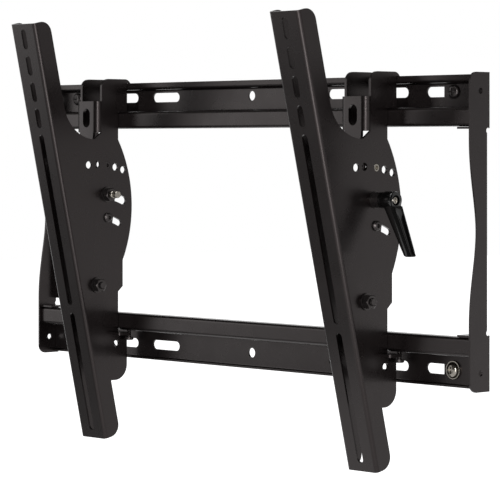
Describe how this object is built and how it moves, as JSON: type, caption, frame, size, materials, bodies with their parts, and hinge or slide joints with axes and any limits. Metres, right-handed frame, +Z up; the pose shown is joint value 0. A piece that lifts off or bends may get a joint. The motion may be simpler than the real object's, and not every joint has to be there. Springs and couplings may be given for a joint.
{
  "type": "tilting screen wall bracket",
  "caption": "Tilting wall bracket for a flat screen: slotted rails between end plates, with hook-on tilt arms, a clamp lever and latch screws.",
  "frame": {"origin": "centre of the wall frame's bolt slots, on the wall plane", "axes": "+X to the right along the wall, +Y into the wall, +Z up; the screen is towards -Y"},
  "size_m": [0.67, 0.1521, 0.4603],
  "materials": {
    "black_steel": "satin powder coat",
    "black_screw": "black oxide",
    "zinc_screw": "zinc plated",
    "black_plastic": "moulded"
  },
  "bodies": {
    "wall_frame": {"top_rail": "black_steel", "bottom_rail": "black_steel", "left_end_bracket": "black_steel", "right_end_bracket": "black_steel", "frame_screws": "zinc_screw"},
    "right_hook": {"right_hook_bracket": "black_steel", "right_pivot_bolt": "black_screw", "right_pivot_washer": "black_screw", "right_pivot_nut": "black_screw", "right_lock_screw": "zinc_screw"},
    "right_tilt": {"right_tilt_rail": "black_steel", "right_clamp_bolt": "zinc_screw", "right_clamp_washer": "black_screw", "right_guide_screw": "black_screw", "right_guide_nut": "black_screw"},
    "right_latch": {"right_latch_screw": "black_screw"},
    "left_hook": {"left_hook_bracket": "black_steel", "left_pivot_bolt": "black_screw", "left_pivot_washer": "black_screw", "left_pivot_nut": "black_screw", "left_lock_screw": "zinc_screw"},
    "left_tilt": {"left_tilt_rail": "black_steel", "left_clamp_bolt": "zinc_screw", "left_clamp_washer": "black_screw", "left_guide_screw": "black_screw", "left_guide_nut": "black_screw", "left_clamp_nut": "black_screw"},
    "left_latch": {"left_latch_screw": "black_screw"},
    "clamp_insert": {"right_lever_insert": "black_screw", "right_lever_screw": "zinc_screw"},
    "clamp_lever": {"right_lever": "black_plastic"}
  },
  "joints": [
    {"name": "right_slide", "type": "slide", "parent": "wall_frame", "child": "right_hook", "axis": [1, 0, 0], "range_m": [-0.11, 0.045]},
    {"name": "right_lean", "type": "hinge", "parent": "right_hook", "child": "right_tilt", "pos_m": [0.203, -0.058, -0.0705], "axis": [-1, 0, 0], "range_deg": [-1.5, 15.5]},
    {"name": "right_latch_travel", "type": "slide", "parent": "right_hook", "child": "right_latch", "axis": [0, 0, -1], "range_m": [0, 0.0025]},
    {"name": "left_slide", "type": "slide", "parent": "wall_frame", "child": "left_hook", "axis": [1, 0, 0], "range_m": [-0.075, 0.11]},
    {"name": "left_lean", "type": "hinge", "parent": "left_hook", "child": "left_tilt", "pos_m": [-0.214, -0.058, -0.0705], "axis": [-1, 0, 0], "range_deg": [-2.6, 14.4]},
    {"name": "left_latch_travel", "type": "slide", "parent": "left_hook", "child": "left_latch", "axis": [0, 0, -1], "range_m": [0, 0.0025]},
    {"name": "clamp_turn", "type": "hinge", "parent": "right_tilt", "child": "clamp_insert", "pos_m": [0.233, -0.04514, 0.02988], "axis": [1, 0, 0], "range_deg": [-100, 20]},
    {"name": "clamp_lift", "type": "slide", "parent": "clamp_insert", "child": "clamp_lever", "axis": [1, 0, 0], "range_m": [0, 0.0035], "stiffness_N_per_m": 600, "springref_m": -0.002}
  ]
}
